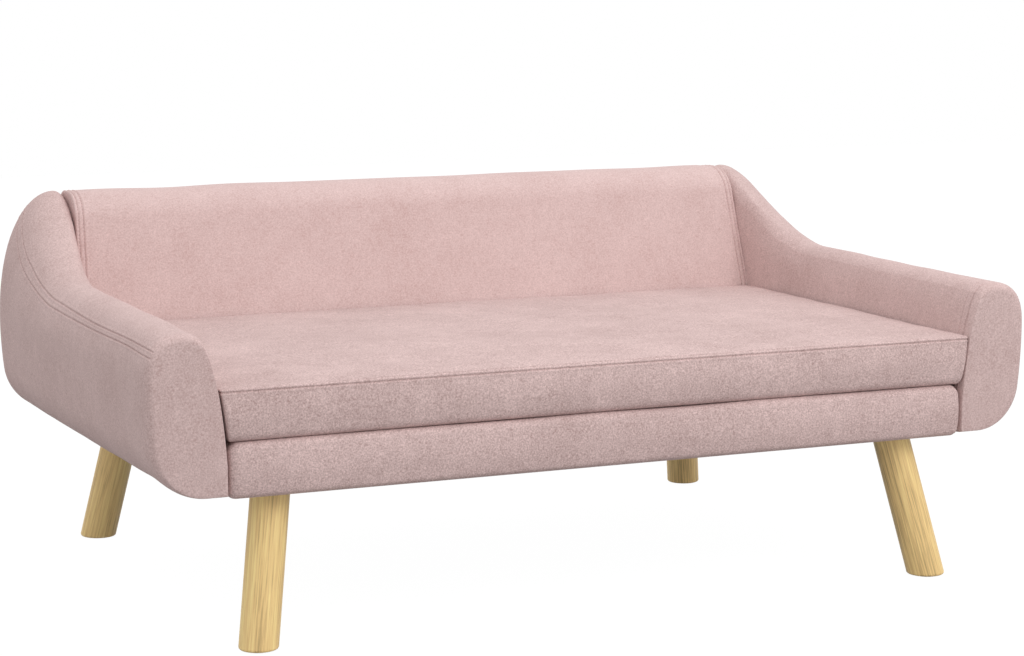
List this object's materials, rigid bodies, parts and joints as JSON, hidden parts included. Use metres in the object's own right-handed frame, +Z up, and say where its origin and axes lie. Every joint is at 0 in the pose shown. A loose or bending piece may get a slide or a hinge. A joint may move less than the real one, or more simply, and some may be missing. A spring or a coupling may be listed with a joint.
{
  "type": "dog sofa bed",
  "caption": "Raised sofa bed for a dog: padded base on splayed wooden legs, arms that sweep up into a padded back, loose zipped seat cushion.",
  "frame": {"origin": "on the floor, under the middle of the sofa", "axes": "+X to the right as seen from the front, +Y to the rear, +Z up"},
  "size_m": [1.001, 0.6072, 0.4081],
  "materials": {
    "velvet": "short-pile brushed cloth",
    "foam": "open-cell foam",
    "timber": "planed softwood",
    "plywood": "raw plywood",
    "oak": "satin clear-coated oak",
    "steel": "zinc plated",
    "dust_cloth": "non-woven cloth",
    "felt": "pressed felt",
    "zip_cloth": "woven tape",
    "zip_coil": "moulded nylon",
    "zip_metal": "nickel plated"
  },
  "bodies": {
    "sofa": {"back_board": "timber", "back_cover": "velvet", "back_foam": "foam", "back_panel": "plywood", "back_ribs": "timber", "back_top_rail": "timber", "base_cover": "velvet", "base_foam": "foam", "bolt_washers": "steel", "centre_rail": "timber", "corner_blocks": "timber", "deck_board": "plywood", "dust_cover": "dust_cloth", "foot_pads": "felt", "frame_bolts": "steel", "front_rail": "timber", "hanger_bolts": "steel", "left_arm_blocks": "timber", "left_arm_board": "timber", "left_arm_cover": "velvet", "left_arm_foam": "foam", "left_arm_panel": "plywood", "left_rail": "timber", "leg_front_left": "oak", "leg_front_right": "oak", "leg_plate_front_left": "steel", "leg_plate_front_right": "steel", "leg_plate_rear_left": "steel", "leg_plate_rear_right": "steel", "leg_rear_left": "oak", "leg_rear_right": "oak", "plate_screws": "steel", "rear_rail": "timber", "right_arm_blocks": "timber", "right_arm_board": "timber", "right_arm_cover": "velvet", "right_arm_foam": "foam", "right_arm_panel": "plywood", "right_rail": "timber", "tee_nuts": "steel"},
    "cushion": {"cushion_cover": "velvet", "cushion_foam": "foam", "zip_tape": "zip_cloth", "zip_coil": "zip_coil"},
    "zip_slider": {"zip_slider": "zip_metal"},
    "zip_pull": {"zip_pull": "zip_metal"}
  },
  "joints": [
    {"name": "cushion_lift", "type": "slide", "parent": "sofa", "child": "cushion", "axis": [0, 0, 1], "range_m": [0, 0.22]},
    {"name": "zip_run", "type": "slide", "parent": "cushion", "child": "zip_slider", "axis": [-1, 0, 0], "range_m": [0, 0.573]},
    {"name": "pull_swing", "type": "hinge", "parent": "zip_slider", "child": "zip_pull", "pos_m": [0.2878, 0.18605, 0.22174], "axis": [0, -0.1125, -0.9937], "range_deg": [0, 8]}
  ]
}
